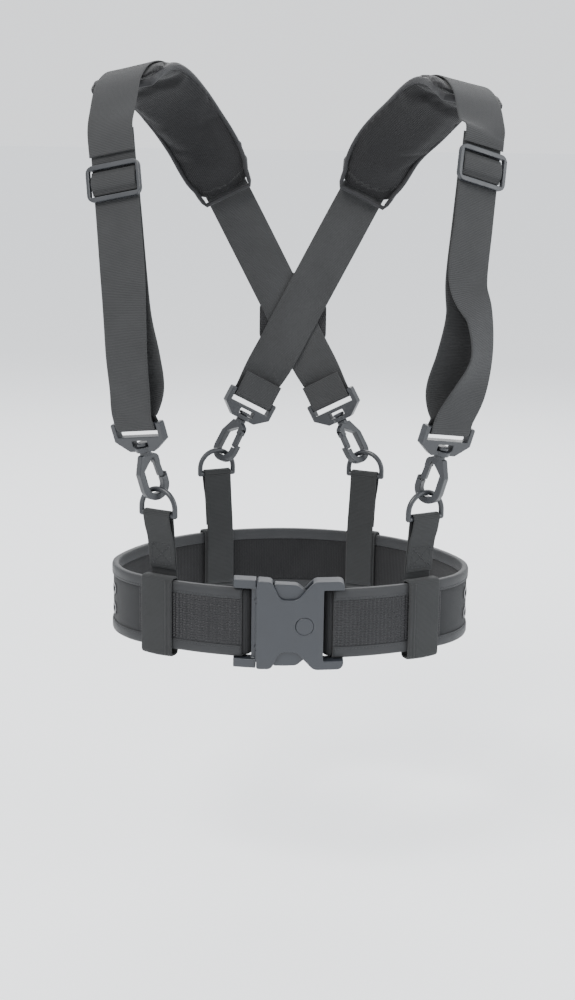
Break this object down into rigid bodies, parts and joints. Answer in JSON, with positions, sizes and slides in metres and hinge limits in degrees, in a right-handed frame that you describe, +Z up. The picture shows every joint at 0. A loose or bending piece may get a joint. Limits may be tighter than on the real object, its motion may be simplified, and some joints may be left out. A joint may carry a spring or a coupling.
{
  "type": "duty tool belt with suspender harness",
  "caption": "Waist tool belt with a side-release buckle and a padded crossed-back suspender harness hung from it by swivel snap hooks on rings.",
  "frame": {"origin": "centre of the waist opening at the belt's mid height", "axes": "+X to the viewer's right as the buckle faces the viewer, +Y from the buckle to the wearer's back, +Z up along the harness"},
  "size_m": [0.3382, 0.2272, 0.476],
  "materials": {
    "harness_webbing": "ribbed woven nylon, matt",
    "belt_webbing": "tight woven nylon, matt",
    "belt_core": "stiffened woven nylon",
    "woven_panel": "coarse basket weave nylon",
    "lining": "loop-faced lining",
    "binding": "smooth edge tape",
    "pad": "padded mesh cloth",
    "patch": "pebbled synthetic leather",
    "eyelet": "dark satin",
    "spring": "drawn wire",
    "buckle_plastic": "moulded acetal, satin",
    "hardware_plastic": "moulded acetal, satin"
  },
  "bodies": {
    "right_side_and_harness": {"belt_core_right": "belt_core", "woven_panel_right": "woven_panel", "lining_right": "lining", "binding_top_right": "binding", "binding_bottom_right": "binding", "end_fold_right": "belt_core", "eyelets_right": "eyelet", "keeper_front_right": "belt_webbing", "riser_front_right": "belt_webbing", "swivel_frame_front_right": "hardware_plastic", "keeper_rear_right": "belt_webbing", "riser_rear_right": "belt_webbing", "swivel_frame_rear_right": "hardware_plastic", "buckle_socket": "buckle_plastic", "button_spring": "spring", "cross_patch": "patch", "front_strap_left": "harness_webbing", "front_strap_right": "harness_webbing", "shoulder_webbing_left": "harness_webbing", "shoulder_webbing_right": "harness_webbing", "shoulder_pad_left": "pad", "shoulder_pad_right": "pad"},
    "left_side": {"belt_core_left": "belt_core", "woven_panel_left": "woven_panel", "lining_left": "lining", "binding_top_left": "binding", "binding_bottom_left": "binding", "end_fold_left": "belt_core", "eyelets_left": "eyelet", "keeper_front_left": "belt_webbing", "riser_front_left": "belt_webbing", "swivel_frame_front_left": "hardware_plastic", "keeper_rear_left": "belt_webbing", "riser_rear_left": "belt_webbing", "swivel_frame_rear_left": "hardware_plastic", "buckle_tongue": "buckle_plastic"},
    "prong_upper": {"prong_upper": "buckle_plastic"},
    "prong_lower": {"prong_lower": "buckle_plastic"},
    "lock_button": {"lock_button": "buckle_plastic"},
    "slider_left": {"slider_left": "hardware_plastic", "slider_fold_left": "harness_webbing"},
    "slider_right": {"slider_right": "hardware_plastic", "slider_fold_right": "harness_webbing"},
    "ring_front_left": {"ring_front_left": "hardware_plastic"},
    "snap_hook_front_left": {"snap_hook_front_left": "hardware_plastic"},
    "gate_front_left": {"gate_front_left": "hardware_plastic"},
    "ring_front_right": {"ring_front_right": "hardware_plastic"},
    "snap_hook_front_right": {"snap_hook_front_right": "hardware_plastic"},
    "gate_front_right": {"gate_front_right": "hardware_plastic"},
    "ring_rear_left": {"ring_rear_left": "hardware_plastic"},
    "snap_hook_rear_left": {"snap_hook_rear_left": "hardware_plastic"},
    "gate_rear_left": {"gate_rear_left": "hardware_plastic"},
    "ring_rear_right": {"ring_rear_right": "hardware_plastic"},
    "snap_hook_rear_right": {"snap_hook_rear_right": "hardware_plastic"},
    "gate_rear_right": {"gate_rear_right": "hardware_plastic"}
  },
  "joints": [
    {"name": "belt_opening", "type": "hinge", "parent": "right_side_and_harness", "child": "left_side", "pos_m": [0, 0.1085, 0], "axis": [0, 0, -1], "range_deg": [0, 22], "deforming": ["front_strap_left", "shoulder_webbing_right", "prong_upper", "prong_lower"]},
    {"name": "prong_upper_flex", "type": "hinge", "parent": "left_side", "child": "prong_upper", "pos_m": [-0.02544, -0.10348, 0.0195], "axis": [0.1192, 0.9929, 0], "range_deg": [0, 12], "stiffness_Nm_per_rad": 0.6},
    {"name": "prong_lower_flex", "type": "hinge", "parent": "left_side", "child": "prong_lower", "pos_m": [-0.02544, -0.10348, -0.0195], "axis": [-0.1192, -0.9929, 0], "range_deg": [0, 12], "stiffness_Nm_per_rad": 0.6},
    {"name": "lock_button_press", "type": "slide", "parent": "right_side_and_harness", "child": "lock_button", "axis": [-0.0515, 0.9987, 0], "range_m": [0, 0.002], "stiffness_N_per_m": 600},
    {"name": "ring_front_left_tilt", "type": "hinge", "parent": "left_side", "child": "ring_front_left", "pos_m": [-0.10725, -0.07726, 0.082], "axis": [0.866, -0.5, 0], "range_deg": [-1, 1]},
    {"name": "snap_hook_front_left_swivel", "type": "hinge", "parent": "left_side", "child": "snap_hook_front_left", "pos_m": [-0.1093, -0.07608, 0.10282], "axis": [-0.2518, -0.1405, 0.9575], "range_deg": [-2, 20]},
    {"name": "gate_front_left_press", "type": "hinge", "parent": "snap_hook_front_left", "child": "gate_front_left", "pos_m": [-0.1098, -0.075, 0.12645], "axis": [-0.6219, 0.7816, -0.0488], "range_deg": [0, 22], "stiffness_Nm_per_rad": 0.03, "springref_deg": -17.19},
    {"name": "ring_front_right_tilt", "type": "hinge", "parent": "right_side_and_harness", "child": "ring_front_right", "pos_m": [0.10725, -0.07726, 0.082], "axis": [0.866, 0.5, 0], "range_deg": [-1, 1]},
    {"name": "snap_hook_front_right_swivel", "type": "hinge", "parent": "right_side_and_harness", "child": "snap_hook_front_right", "pos_m": [0.1093, -0.07608, 0.10282], "axis": [-0.2518, 0.1405, -0.9575], "range_deg": [-2, 20]},
    {"name": "gate_front_right_press", "type": "hinge", "parent": "snap_hook_front_right", "child": "gate_front_right", "pos_m": [0.1098, -0.075, 0.12645], "axis": [-0.6219, -0.7816, 0.0488], "range_deg": [0, 22], "stiffness_Nm_per_rad": 0.03, "springref_deg": -17.19},
    {"name": "ring_rear_left_tilt", "type": "hinge", "parent": "left_side", "child": "ring_rear_left", "pos_m": [-0.06704, 0.09068, 0.082], "axis": [-0.9007, -0.4344, 0], "range_deg": [-1, 1]},
    {"name": "snap_hook_rear_left_swivel", "type": "hinge", "parent": "left_side", "child": "snap_hook_rear_left", "pos_m": [-0.06039, 0.09389, 0.10119], "axis": [-0.4589, -0.1115, -0.8815], "range_deg": [-2, 20]},
    {"name": "gate_rear_left_press", "type": "hinge", "parent": "snap_hook_rear_left", "child": "gate_rear_left", "pos_m": [-0.04532, 0.09155, 0.11928], "axis": [0.5821, 0.7118, -0.3931], "range_deg": [0, 22], "stiffness_Nm_per_rad": 0.03, "springref_deg": -17.19},
    {"name": "ring_rear_right_tilt", "type": "hinge", "parent": "right_side_and_harness", "child": "ring_rear_right", "pos_m": [0.06704, 0.09068, 0.082], "axis": [-0.9007, 0.4344, 0], "range_deg": [-1, 1]},
    {"name": "snap_hook_rear_right_swivel", "type": "hinge", "parent": "right_side_and_harness", "child": "snap_hook_rear_right", "pos_m": [0.06039, 0.09389, 0.10119], "axis": [-0.4589, 0.1115, 0.8815], "range_deg": [-2, 20]},
    {"name": "gate_rear_right_press", "type": "hinge", "parent": "snap_hook_rear_right", "child": "gate_rear_right", "pos_m": [0.04532, 0.09155, 0.11928], "axis": [0.5821, -0.7118, 0.3931], "range_deg": [0, 22], "stiffness_Nm_per_rad": 0.03, "springref_deg": -17.19},
    {"name": "slider_left_slide", "type": "slide", "parent": "right_side_and_harness", "child": "slider_left", "axis": [-0.0992, 0.2986, 0.9492], "range_m": [-0.07, 0.002], "deforming": ["front_strap_left"]},
    {"name": "slider_right_slide", "type": "slide", "parent": "right_side_and_harness", "child": "slider_right", "axis": [0.0992, 0.2986, 0.9492], "range_m": [-0.07, 0.002], "deforming": ["front_strap_right"]}
  ]
}
